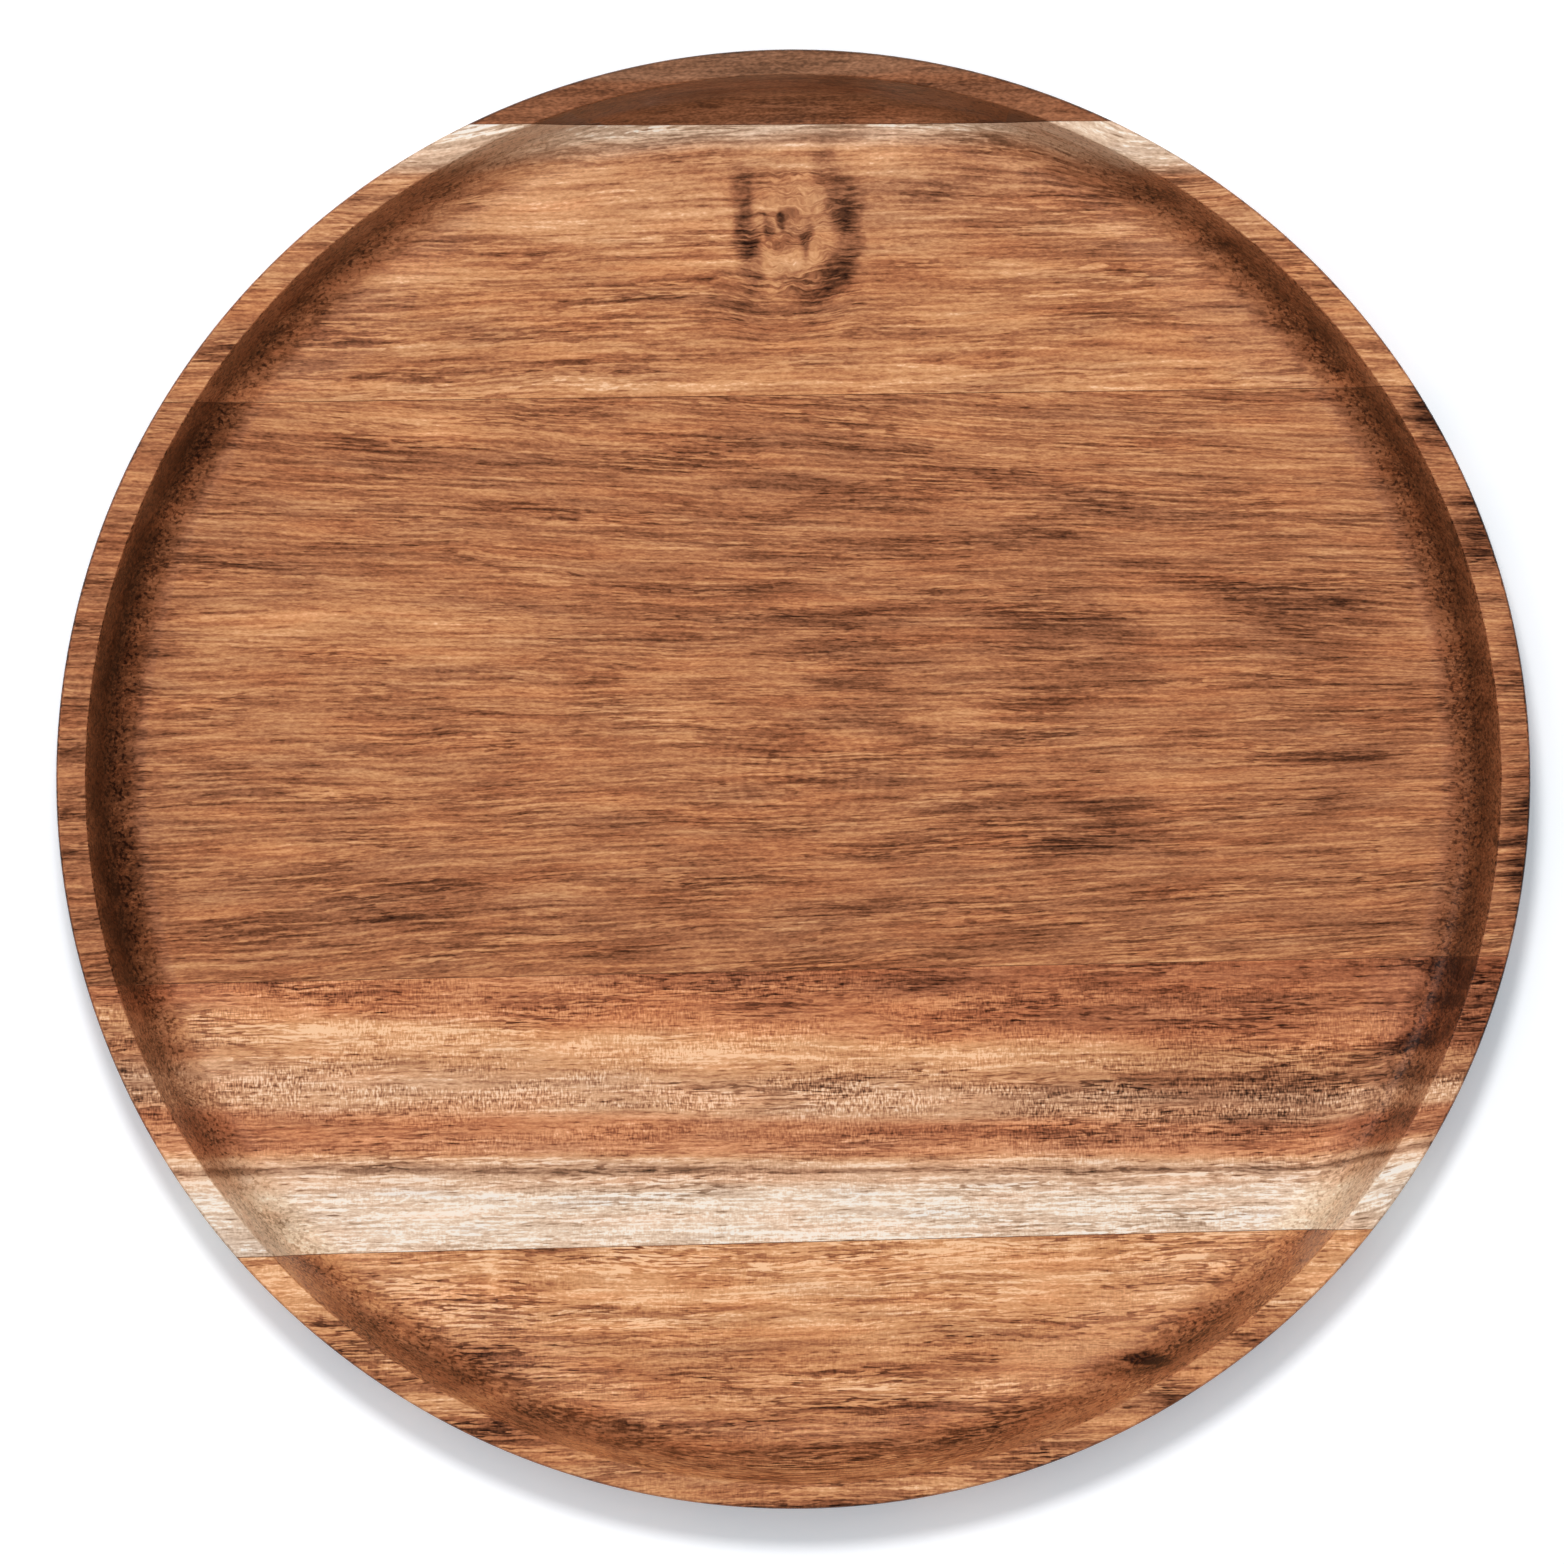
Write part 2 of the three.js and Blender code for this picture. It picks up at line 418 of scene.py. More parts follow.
# %% [markdown]
# ## Where the grain runs
#
# Wood is a solid, so its figure is worked out from a point in space and not painted on a face.
# The same board then shows long lines on the floor and the rim, and dots where the wall cuts
# across the grain. Lengths are millimetres. The point is first pushed sideways, so that the grain
# wanders: by slow noise everywhere, by a fan where the rings converge, and by bends near a knot.
# A patch is a soft oval spot. It is given by its centre, half its length, half its width, its tilt
# in degrees and an amount: how far it pushes the grain or, in a board's list of patches, how much
# lighter or darker it makes the wood.

# %% Patches
PATCH_DEPTH = 1000.0
PATCH_EDGE = (0.0, 0.75)


def axes_of(tree, point):
    return node(tree, "ShaderNodeSeparateXYZ", {0: point}).outputs


def patch(tree, point, x, y, half_length, half_width, tilt=0.0):
    local = node(
        tree, "ShaderNodeMapping",
        {
            "Vector": point, "Location": (x, y, 0.0), "Rotation": (0.0, 0.0, math.radians(tilt)),
            "Scale": (half_length, half_width, PATCH_DEPTH),
        },
        vector_type="TEXTURE",
    )
    ball = node(
        tree, "ShaderNodeTexGradient", {"Vector": local.outputs[0]}, gradient_type="SPHERICAL",
    )
    return smooth_step(tree, ball.outputs["Fac"], *PATCH_EDGE)


def sum_of_patches(tree, point, patches):
    total = 0.0
    for x, y, half_length, half_width, tilt, amount in patches:
        spot = patch(tree, point, x, y, half_length, half_width, tilt)
        total = maths(tree, "MULTIPLY_ADD", spot, amount, total)
    return total


print("a patch has its full tone over the inner", 1.0 - PATCH_EDGE[1], "of its size")

# %% Grain space
IN_MM = (1.0 / MM, 1.0 / MM, 1.0 / MM)
WAVE_SIZE = (80.0, 24.0, 24.0)
RIPPLE_SIZE = (16.0, 5.0, 5.0)
RIPPLE = 0.9
CURL_SIZE = (5.0, 3.5, 3.5)
FAN_START = -120.0
FAN_LENGTH = 240.0


def sideways_shift(tree, place, recipe):
    seeded = vector_maths(tree, "ADD", place, recipe["seed"])
    shift = maths(tree, "MULTIPLY", grain_noise(tree, seeded, WAVE_SIZE), recipe["wave"])
    ripple = grain_noise(tree, seeded, RIPPLE_SIZE)
    shift = maths(tree, "MULTIPLY_ADD", ripple, RIPPLE, shift)
    if "fan" in recipe:
        centre, amount = recipe["fan"]
        axes = axes_of(tree, place)
        along = maths(tree, "MULTIPLY_ADD", axes[0], 1.0 / FAN_LENGTH, -FAN_START / FAN_LENGTH)
        away = maths(tree, "SUBTRACT", axes[1], centre)
        spread = maths(tree, "MULTIPLY", along, amount)
        shift = maths(tree, "MULTIPLY_ADD", away, spread, shift)
    if "bends" in recipe:
        shift = maths(tree, "ADD", shift, sum_of_patches(tree, place, recipe["bends"]))
    if "curls" in recipe:
        curl = grain_noise(tree, seeded, CURL_SIZE)
        strength = sum_of_patches(tree, place, recipe["curls"])
        shift = maths(tree, "MULTIPLY_ADD", curl, strength, shift)
    return shift


def grain_space(tree, recipe):
    coordinates = node(tree, "ShaderNodeTexCoord", {})
    place = vector_maths(tree, "MULTIPLY", coordinates.outputs["Object"], IN_MM)
    shift = sideways_shift(tree, place, recipe)
    waved = vector_maths(tree, "ADD", place, combine(tree, 0.0, shift, 0.0))
    grain = vector_maths(tree, "ADD", waved, recipe["seed"])
    scaled = vector_maths(tree, "MULTIPLY", grain, [1.0 / s for s in recipe["fray_size"]])
    fray = node(tree, "ShaderNodeTexNoise", {"Vector": scaled, "Scale": 1.0, "Detail": 2.0})
    offset = vector_maths(tree, "SUBTRACT", fray.outputs["Color"], (0.5, 0.5, 0.5))
    frayed = vector_maths(tree, "MULTIPLY_ADD", offset, recipe["fray"], waved)
    return {
        "place": place, "waved": waved, "grain": grain, "frayed": frayed,
        "normal": coordinates.outputs["Normal"],
    }


print("slow waves, mm:", WAVE_SIZE[0], "long, ripples, mm:", RIPPLE_SIZE[0], "long")

# %% [markdown]
# ## Growth rings
#
# One value, the tone, adds up everything that makes the wood lighter or darker.
# It starts from the growth rings. Most boards are cut well away from the pith, so their rings run
# straight along the board. In the widest board the pith dips away under the floor, and the rings
# show as arches. What changes from ring to ring is listed in order, across the board.

# %% Rings
def straight_rings(tree, point, middle, drift, widening):
    axes = axes_of(tree, point)
    off = maths(tree, "SUBTRACT", axes[1], middle)
    slope = maths(tree, "MULTIPLY_ADD", off, widening, drift)
    rise = maths(tree, "MULTIPLY", axes[0], slope)
    return maths(tree, "SUBTRACT", axes[1], rise)


def arched_rings(tree, point, pith_y, pith_depth, dip):
    axes = axes_of(tree, point)
    off = maths(tree, "SUBTRACT", axes[1], pith_y)
    deep = maths(tree, "MULTIPLY_ADD", axes[0], dip, pith_depth)
    deep = maths(tree, "MAXIMUM", deep, 0.0)
    deep = maths(tree, "ADD", deep, axes[2])
    reach = node(
        tree, "ShaderNodeVectorMath", {0: combine(tree, off, deep, 0.0)}, operation="LENGTH",
    )
    return reach.outputs["Value"]


def fill_ramp(tree, share, stops):
    ramp = node(tree, "ShaderNodeValToRGB", {"Fac": share})
    elements = ramp.color_ramp.elements
    elements[0].color = stops[0][1]
    elements[1].color = stops[-1][1]
    for place, colour in stops[1:-1]:
        elements.new(place).color = colour
    return ramp.outputs["Color"]


def ring_profile(tree, rings, profile):
    first = profile[0][0]
    last = profile[-1][0]
    ranged = node(
        tree, "ShaderNodeMapRange", {"Value": rings, "From Min": first, "From Max": last},
    )
    stops = [((ring - first) / (last - first), (v, v, v, 1.0)) for ring, v in profile]
    return fill_ramp(tree, ranged.outputs["Result"], stops)


print("rings can be straight or arched")

# %% [markdown]
# ## Lines, dashes and pores
#
# Fine dark lines are what the eye takes for grain. Each layer is noise stretched along the board
# and cut off sharply, so that it gives thin separate lines and not a blur. A slower noise, and the
# dark patches of the board, decide where the lines are busy. The lines are also slightly sunk, so
# they are kept for the relief. Softer streaks and a fine fibre lie between the lines.

# %% Lines
BUSY_SIZE = (34.0, 7.0, 7.0)
BUSY_MIDDLE = 0.5
BUSY_SPREAD = 2.2
BUSY_LEAST = 0.2
BUSY_MOST = 1.3
LAYER_OFFSET = (0.0, 37.0, 11.0)
STREAK_SIZES = [(36.0, 3.0), (26.0, 1.3), (16.0, 0.6)]
LINE_SIZES = [(26.0, 0.85), (10.0, 0.6), (3.6, 0.45)]
LINE_EDGE = (0.04, 0.12)
FIBRE_SIZE = (1.0, 0.35, 0.35)
FIBRE = 0.5


def layer(tree, point, length, width):
    return grain_noise(tree, point, (length, width, width), detail=0.0)


def busy_places(tree, grain, shade, draw):
    slow = grain_noise(tree, grain, BUSY_SIZE)
    busy = maths(tree, "MULTIPLY_ADD", slow, BUSY_SPREAD, BUSY_MIDDLE)
    busy = maths(tree, "MULTIPLY_ADD", shade, -draw, busy)
    busy = maths(tree, "MAXIMUM", busy, BUSY_LEAST)
    return maths(tree, "MINIMUM", busy, BUSY_MOST)


def soft_streaks(tree, grain, recipe):
    change = 0.0
    point = grain
    for (length, width), amount in zip(STREAK_SIZES, recipe["streaks"]):
        point = vector_maths(tree, "ADD", point, LAYER_OFFSET)
        change = maths(tree, "MULTIPLY_ADD", layer(tree, point, length, width), amount, change)
    fibres = grain_noise(tree, point, FIBRE_SIZE, detail=1.0)
    return maths(tree, "MULTIPLY_ADD", fibres, FIBRE, change)


def thin_lines(tree, grain, busy, recipe):
    total = 0.0
    point = grain
    for (length, width), amount in zip(LINE_SIZES, recipe["lines"]):
        lines = smooth_step(tree, layer(tree, point, length, width), *LINE_EDGE)
        total = maths(tree, "MAXIMUM", maths(tree, "MULTIPLY", lines, amount), total)
        point = vector_maths(tree, "SUBTRACT", point, LAYER_OFFSET)
    return maths(tree, "MULTIPLY", total, busy)


print("layers of lines:", len(LINE_SIZES), "finest, mm:", LINE_SIZES[-1][1])

# %% Pores
PORE_EDGE = (0.36, 0.12)
PORE_CHANCE = (0.3, 0.9)


def pore_dots(tree, grain, size):
    stretched = vector_maths(tree, "MULTIPLY", grain, [1.0 / s for s in size])
    cells = node(tree, "ShaderNodeTexVoronoi", {"Vector": stretched, "Scale": 1.0})
    dots = smooth_step(tree, cells.outputs["Distance"], *PORE_EDGE)
    chance = node(tree, "ShaderNodeSeparateColor", {0: cells.outputs["Color"]}).outputs[0]
    return maths(tree, "MULTIPLY", dots, smooth_step(tree, chance, *PORE_CHANCE))


print("pores show in about", 1.0 - sum(PORE_CHANCE) / 2, "of the cells")

# %% [markdown]
# ## Rays
#
# In some boards bundles of cells run across the grain. They show as fine ticks, mostly in certain
# rings, and give a cross-hatched, silky look.

# %% Rays
RAY_SIZE = (0.4, 1.3, 1.3)
RAY_FIELD = (22.0, 5.0, 5.0)
RAY_EDGE = (-0.15, 0.1)


def ray_ticks(tree, grain, rings, profile):
    ticks = grain_noise(tree, grain, RAY_SIZE, detail=1.0)
    field = smooth_step(tree, grain_noise(tree, grain, RAY_FIELD), *RAY_EDGE)
    share = maths(tree, "MULTIPLY", field, ring_profile(tree, rings, profile))
    return maths(tree, "MULTIPLY", ticks, share)


print("ray ticks, mm:", RAY_SIZE[1], "across the grain")

# %% [markdown]
# ## Colour
#
# The tone is turned into a colour by a ramp from dark brown to pale tan. The outer layers of the
# tree, the sapwood, have a ramp of their own, from grey brown to cream. Slow noise then makes some
# places a little redder and others a little greyer, as the pigment does in the wood.

# %% Colour ramps
HEARTWOOD = [
    (0.00, "#28120a"),
    (0.21, "#61361f"),
    (0.29, "#784529"),
    (0.38, "#905737"),
    (0.485, "#a86844"),
    (0.605, "#bf7e53"),
    (0.75, "#d69765"),
    (0.925, "#edb07f"),
    (1.00, "#ffcc9f"),
]
SAPWOOD = [
    (0.00, "#3e2a1e"),
    (0.30, "#83644c"),
    (0.50, "#a7866b"),
    (0.70, "#d2b297"),
    (0.85, "#ebcdb2"),
    (0.94, "#f9e2ca"),
    (1.00, "#fff4e6"),
]
RUSSET = (1.03, 0.96, 0.92, 1.0)
DEEP_RUSSET = (1.03, 0.92, 0.92, 1.0)
DUSKY = (0.94, 0.97, 1.02, 1.0)
HONEY = (1.0, 0.97, 0.88, 1.0)
HUE_SIZE = (26.0, 4.0, 4.0)
RED_HUE = (-0.02, 0.2)
GREY_HUE = (-0.02, -0.2)
GREY_IN_PATCHES = -3.0


def tone_colour(tree, tone, codes):
    return fill_ramp(tree, tone, [(place, paint(code)) for place, code in codes])


def wood_colour(tree, space, tone, sapwood, shade):
    heart = tone_colour(tree, tone, HEARTWOOD)
    colour = mix_colour(tree, sapwood, heart, tone_colour(tree, tone, SAPWOOD))
    hue = grain_noise(tree, space["grain"], HUE_SIZE)
    red = smooth_step(tree, hue, *RED_HUE)
    grey = smooth_step(tree, hue, *GREY_HUE)
    grey = maths(tree, "MULTIPLY_ADD", shade, GREY_IN_PATCHES, grey)
    grey = maths(tree, "MINIMUM", maths(tree, "MAXIMUM", grey, 0.0), 1.0)
    colour = mix_colour(tree, red, colour, RUSSET, "MULTIPLY")
    return mix_colour(tree, grey, colour, DUSKY, "MULTIPLY")


print("heartwood steps:", len(HEARTWOOD), "sapwood steps:", len(SAPWOOD))

# %% [markdown]
# ## Lathe marks, end grain and painted wall shade
#
# The turning tool has left faint rings round the middle of the floor. Where the wall faces along
# the board it cuts the fibres across: such end grain drinks more oil, turns darker, and shows
# specks where it cuts the pores, but little of the lines. The wall stands in shade all round, and
# that is painted into its tone as well, so its darkening is part end grain and part painted shade.
# How much darker it is, is listed by the distance in from the edge of the rim, down the wall and
# the cove to the floor. The rounded outer edge of the rim is painted as a thin dark line, which is
# painted shade.

# %% Lathe marks
TOOL_CENTRE = (0.4, 1.2)
TOOL_STEP = 2.2
TOOL_REACH = 30.0
TOOL_TONE = 0.035
TOOL_RELIEF = 0.1


def tool_rings(tree, place):
    near = patch(tree, place, *TOOL_CENTRE, TOOL_REACH, TOOL_REACH)
    flat = vector_maths(tree, "MULTIPLY", place, (1.0, 1.0, 0.0))
    centre = (*TOOL_CENTRE, 0.0)
    away = node(tree, "ShaderNodeVectorMath", {0: flat, 1: centre}, operation="DISTANCE")
    turns = maths(tree, "MULTIPLY", away.outputs["Value"], math.tau / TOOL_STEP)
    return maths(tree, "MULTIPLY", maths(tree, "SINE", turns), near)


print("lathe rings, mm apart:", TOOL_STEP)

# %% End grain, painted wall shade and rim edge shade
# Darkening by distance in from the rim: part end grain, part painted shade on the wall of the well.
END_WALL_GRAIN_AND_SHADE = [
    (-0.3, 0.0), (0.0, 0.20), (1.5, 0.30), (2.5, 0.34), (3.5, 0.39), (4.5, 0.36), (5.5, 0.30),
    (6.5, 0.25), (7.5, 0.22), (8.5, 0.20), (9.5, 0.16), (10.5, 0.08), (12.0, 0.0),
]
END_ARC = (0.1, 0.7)
END_SIDE = 0.15
SIDE_SLOPE = (0.3, 0.9)
WELL_START = (5.0, 7.0)
PLAIN_WALL = [(0.0, 0.0), (12.0, 0.0)]
CALM_SLOPE = (0.03, 0.35)
CALM = -0.5
SPECK_SIZE = (0.9, 0.9, 0.9)
SPECK_RANGE = (0.02, 0.14)
SPECK_SLOPE = (0.08, 0.4)
SPECK_TONE = -0.2
# Painted shade: a thin dark line along the rounded outer edge of the rim.
EDGE_SHADE_LINE = (0.15, 0.6)
EDGE_SHADE_DEPTH = (1.4, 0.8)
EDGE_SHADE_TONE = -0.16


def facing_along(tree, normal):
    return maths(tree, "ABSOLUTE", axes_of(tree, normal)[0])


def end_grain_specks(tree, place, across):
    specks = smooth_step(tree, grain_noise(tree, place, SPECK_SIZE), *SPECK_RANGE)
    return maths(tree, "MULTIPLY", specks, smooth_step(tree, across, *SPECK_SLOPE))


def distance_inside(tree, place, half_length, half_width):
    share = vector_maths(tree, "MULTIPLY", place, (1.0 / half_length, 1.0 / half_width, 0.0))
    reach = node(tree, "ShaderNodeVectorMath", {0: share}, operation="LENGTH").outputs["Value"]
    inwards = maths(tree, "MULTIPLY_ADD", reach, -half_length, half_length)
    sideways = maths(tree, "DIVIDE", maths(tree, "ABSOLUTE", axes_of(tree, share)[0]), reach)
    return inwards, sideways


# Painted shade on the rounded outer edge of the rim, where it turns away from the light.
def rim_edge_shade(tree, place):
    inwards = distance_inside(tree, place, RADIUS, WIDTH / 2)[0]
    line = maths(tree, "SUBTRACT", 1.0, smooth_step(tree, inwards, *EDGE_SHADE_LINE))
    top = smooth_step(tree, axes_of(tree, place)[2], *[HEIGHT - depth for depth in EDGE_SHADE_DEPTH])
    return maths(tree, "MULTIPLY", line, top)


# Painted shade and end grain on the wall of the well, and end grain on the outer side.
def wall_grain_and_shade(tree, place, across, long_wall_light_and_shade):
    inwards, sideways = distance_inside(tree, place, WELL_RADIUS, WELL_HALF_WIDTH)
    end_share = smooth_step(tree, sideways, *END_ARC)
    along = ring_profile(tree, inwards, long_wall_light_and_shade)
    extra = maths(tree, "SUBTRACT", ring_profile(tree, inwards, END_WALL_GRAIN_AND_SHADE), along)
    wall = maths(tree, "MULTIPLY_ADD", extra, end_share, along)
    in_well = smooth_step(tree, axes_of(tree, place)[2], *WELL_START)
    wall = maths(tree, "MULTIPLY", wall, in_well)
    outside = maths(tree, "LESS_THAN", inwards, 0.0)
    side = maths(tree, "MULTIPLY", smooth_step(tree, across, *SIDE_SLOPE), END_SIDE)
    return maths(tree, "MULTIPLY_ADD", outside, side, wall)


print("darkest end wall, mm in from the rim:", max(END_WALL_GRAIN_AND_SHADE, key=lambda step: step[1])[0])

# %% [markdown]
# ## Putting the wood together
#
# A recipe names everything that differs between boards. The tone is summed up first, then turned
# into colour. Lines and pores are sunk a little, and are a little rougher than the oiled wood.

# %% Tone of the wood
CLOUD_SIZE = (26.0, 6.0, 6.0)


def wood_tone(tree, space, rings, recipe):
    grain = space["grain"]
    shade = sum_of_patches(tree, space["frayed"], recipe["patches"])
    busy = busy_places(tree, grain, shade, recipe["draw"])
    lines = thin_lines(tree, grain, busy, recipe)
    change = maths(tree, "SUBTRACT", soft_streaks(tree, grain, recipe), lines)
    if "rays" in recipe:
        change = maths(tree, "ADD", change, ray_ticks(tree, grain, rings, recipe["rays"]))
    pores = pore_dots(tree, grain, recipe["pore_size"])
    change = maths(tree, "MULTIPLY_ADD", pores, -recipe["pores"], change)
    clouds = grain_noise(tree, grain, CLOUD_SIZE, detail=3.0)
    marks = tool_rings(tree, space["place"])
    across = facing_along(tree, space["normal"])
    calm = maths(tree, "MULTIPLY_ADD", smooth_step(tree, across, *CALM_SLOPE), CALM, 1.0)

    tone = maths(tree, "ADD", ring_profile(tree, rings, recipe["rings"]), shade)
    tone = maths(tree, "MULTIPLY_ADD", change, calm, tone)
    tone = maths(tree, "MULTIPLY_ADD", clouds, recipe["clouds"], tone)
    tone = maths(tree, "MULTIPLY_ADD", marks, TOOL_TONE, tone)
    specks = end_grain_specks(tree, space["place"], across)
    tone = maths(tree, "MULTIPLY_ADD", specks, SPECK_TONE, tone)
    tone = maths(tree, "MULTIPLY_ADD", rim_edge_shade(tree, space["place"]), EDGE_SHADE_TONE, tone)
    relief = maths(tree, "ADD", pores, lines)
    relief = maths(tree, "MULTIPLY_ADD", marks, TOOL_RELIEF, relief)
    return {"tone": tone, "shade": shade, "relief": relief, "across": across, "clouds": clouds}


print("clouds, mm:", CLOUD_SIZE[0], "long")

# %% Oiled wood
SAPWOOD_SHELTER = -0.9
HONEY_GAIN = 3.0
GRAIN_RELIEF = 0.3
GRAIN_DEPTH = 0.0002
OILED_ROUGHNESS = 0.32
LINE_ROUGHNESS = 0.12
CLOUD_ROUGHNESS = 0.2
SATIN = 0.5


def board_rings(tree, space, recipe):
    if "pith" in recipe:
        return arched_rings(tree, space["waved"], *recipe["pith"])
    return straight_rings(tree, space["waved"], *recipe["slope"])


def oiled_wood(name, recipe):
    material = bpy.data.materials.new(name)
    material.use_nodes = True
    tree = material.node_tree
    tree.nodes.clear()
    space = grain_space(tree, recipe)
    rings = board_rings(tree, space, recipe)
    figure = wood_tone(tree, space, rings, recipe)
    sapwood = ring_profile(tree, rings, recipe["sapwood"])
    # Walls along the grain have no end grain; any tone listed for them is painted light and shade.
    long_wall_light_and_shade = recipe.get("long_wall_light_and_shade", PLAIN_WALL)
    # The wall's darkening, part end grain and part painted shade, is mostly kept off the sapwood.
    darker = wall_grain_and_shade(tree, space["place"], figure["across"], long_wall_light_and_shade)
    heart = maths(tree, "MULTIPLY_ADD", sapwood, SAPWOOD_SHELTER, 1.0)
    tone = maths(tree, "SUBTRACT", figure["tone"], maths(tree, "MULTIPLY", darker, heart))
    colour = wood_colour(tree, space, tone, sapwood, figure["shade"])
    # Where the same darkening, end grain and painted shade, falls on sapwood, it is tinted towards
    # honey.
    honey = maths(tree, "MULTIPLY", maths(tree, "MULTIPLY", darker, sapwood), HONEY_GAIN)
    colour = mix_colour(tree, maths(tree, "MINIMUM", honey, 1.0), colour, HONEY, "MULTIPLY")
    if "russet" in recipe:
        red_rings = ring_profile(tree, rings, recipe["russet"])
        colour = mix_colour(tree, red_rings, colour, DEEP_RUSSET, "MULTIPLY")
    bump = node(
        tree, "ShaderNodeBump",
        {"Height": figure["relief"], "Strength": GRAIN_RELIEF, "Distance": GRAIN_DEPTH},
        invert=True,
    )
    roughness = maths(tree, "MULTIPLY_ADD", figure["relief"], LINE_ROUGHNESS, OILED_ROUGHNESS)
    roughness = maths(tree, "MULTIPLY_ADD", figure["clouds"], CLOUD_ROUGHNESS, roughness)
    shader = node(
        tree, "ShaderNodeBsdfPrincipled",
        {
            "Base Color": colour, "Roughness": roughness, "Specular IOR Level": SATIN,
            "Normal": bump.outputs["Normal"],
        },
    )
    node(tree, "ShaderNodeOutputMaterial", {"Surface": shader.outputs[0]})
    return material


def dress_board(stave, recipe):
    board = boards[stave]
    board.data.materials.append(oiled_wood(stave + "_oiled", recipe))
    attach(board, "root")
    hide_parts(stave)
    print("finished", stave, "with", len(board.active_material.node_tree.nodes), "nodes")


print("oiled wood, roughness:", OILED_ROUGHNESS)

# %% [markdown]
# ## The back board
#
# A narrow board of dark chocolate brown, nearly all rim and wall, with close fine lines.

# %% Back board
BACK_STAVE = {
    "seed": (31.0, 7.0, 3.0), "draw": 2.0, "wave": 4.0, "slope": (140.0, 0.0, 0.0),
    "fray_size": (16.0, 3.0, 3.0), "fray": (16.0, 4.0, 0.0),
    "clouds": 0.25, "streaks": (0.12, 0.15, 0.12), "lines": (0.14, 0.14, 0.1),
    "pore_size": (9.0, 0.8, 0.8), "pores": 0.1,
    # The wall's rings, 132 to 142.2 mm, are set dark: dark wood with painted shade, as the back wall
    # stands in the rim's shade.
    "rings": [(132.0, 0.41), (142.2, 0.40), (143.4, 0.36), (149.0, 0.37)],
    "sapwood": [(132.0, 0.1), (142.2, 0.1), (143.4, 0.4), (149.0, 0.4)],
    "patches": [],
}
dress_board("back_stave", BACK_STAVE)

# %% [markdown]
# ## The knotted board
#
# A golden tan board. A strip of pale sapwood runs along its back edge, and bends round a knot.
# The knot itself is two dark smudges, like a pair of brackets, with small flecks between them.

# %% Knotted board
KNOTTED_STAVE = {
    "seed": (-57.0, 40.0, 11.0), "draw": 0.5, "wave": 4.0, "slope": (105.0, 0.0, 0.0),
    "fray_size": (5.0, 5.0, 5.0), "fray": (4.0, 5.0, 0.0),
    "clouds": 0.3, "streaks": (0.2, 0.3, 0.42), "lines": (0.28, 0.36, 0.34),
    "pore_size": (6.0, 0.55, 0.55), "pores": 0.2,
    "bends": [
        (5.0, 134.0, 75.0, 26.0, 0.0, -2.2), (0.0, 97.0, 16.0, 12.0, 0.0, 2.0),
        (80.0, 128.0, 30.0, 16.0, 0.0, 5.5), (-80.0, 128.0, 30.0, 16.0, 0.0, 2.9),
    ],
    "curls": [(2.0, 111.0, 14.0, 20.0, 0.0, 5.0)],
    "rings": [
        (77.0, 0.82), (80.0, 0.80), (83.0, 0.72), (86.0, 0.68), (90.5, 0.67), (95.0, 0.72),
        (99.5, 0.70), (104.0, 0.72), (108.5, 0.70), (113.0, 0.78), (117.0, 0.74), (122.0, 0.70),
        (126.0, 0.74), (127.6, 0.68), (129.4, 0.84), (131.5, 0.92), (140.0, 0.96),
    ],
    "sapwood": [
        (77.0, 0.0), (100.0, 0.0), (112.0, 0.05), (126.0, 0.1), (128.0, 0.6), (130.0, 0.9),
        (140.0, 1.0),
    ],
    "patches": [
        (-8.5, 118.5, 3.4, 7.0, 0.0, -0.24),
        (-7.6, 112.0, 3.4, 8.0, 0.0, -0.32),
        (-7.0, 105.5, 3.6, 7.0, 0.0, -0.26),
        (8.5, 123.5, 4.5, 6.0, 0.0, -0.22),
        (12.5, 117.0, 5.0, 8.0, 0.0, -0.28),
        (13.2, 110.0, 4.8, 8.0, 0.0, -0.24),
        (11.0, 103.5, 5.2, 6.0, 0.0, -0.26),
        (6.0, 100.5, 5.0, 5.0, 0.0, -0.18),
        (-3.5, 112.6, 1.8, 4.0, 0.0, -0.34),
        (-0.3, 113.5, 1.6, 3.2, 0.0, -0.26),
        (4.3, 110.5, 1.9, 6.0, 0.0, -0.30),
        (1.0, 112.4, 4.5, 5.0, 0.0, -0.18),
        (1.0, 102.5, 5.0, 4.0, 0.0, -0.12),
        (-10.0, 99.0, 9.0, 7.0, 0.0, -0.12),
        (-6.0, 94.0, 18.0, 6.0, 0.0, -0.12),
        (10.0, 97.0, 14.0, 6.0, 0.0, -0.08),
        (28.0, 118.0, 16.0, 3.5, 0.0, -0.16),
        (52.0, 120.0, 36.0, 5.0, 0.0, -0.12),
        (62.0, 107.0, 50.0, 3.5, 0.0, -0.08),
        (-52.0, 119.0, 28.0, 9.0, 0.0, 0.10),
        (45.0, 87.0, 18.0, 4.0, 0.0, 0.13),
        (28.0, 84.6, 16.0, 4.0, 0.0, 0.15),
        (20.0, 126.0, 10.0, 4.0, 0.0, 0.12),
        (-50.0, 80.0, 40.0, 5.0, 0.0, 0.10),
    ],
}
dress_board("knotted_stave", KNOTTED_STAVE)

# %% [markdown]
# ## The centre board
#
# The widest board, brown. Its rings open to the left as arches, and the dark patches lie on them.

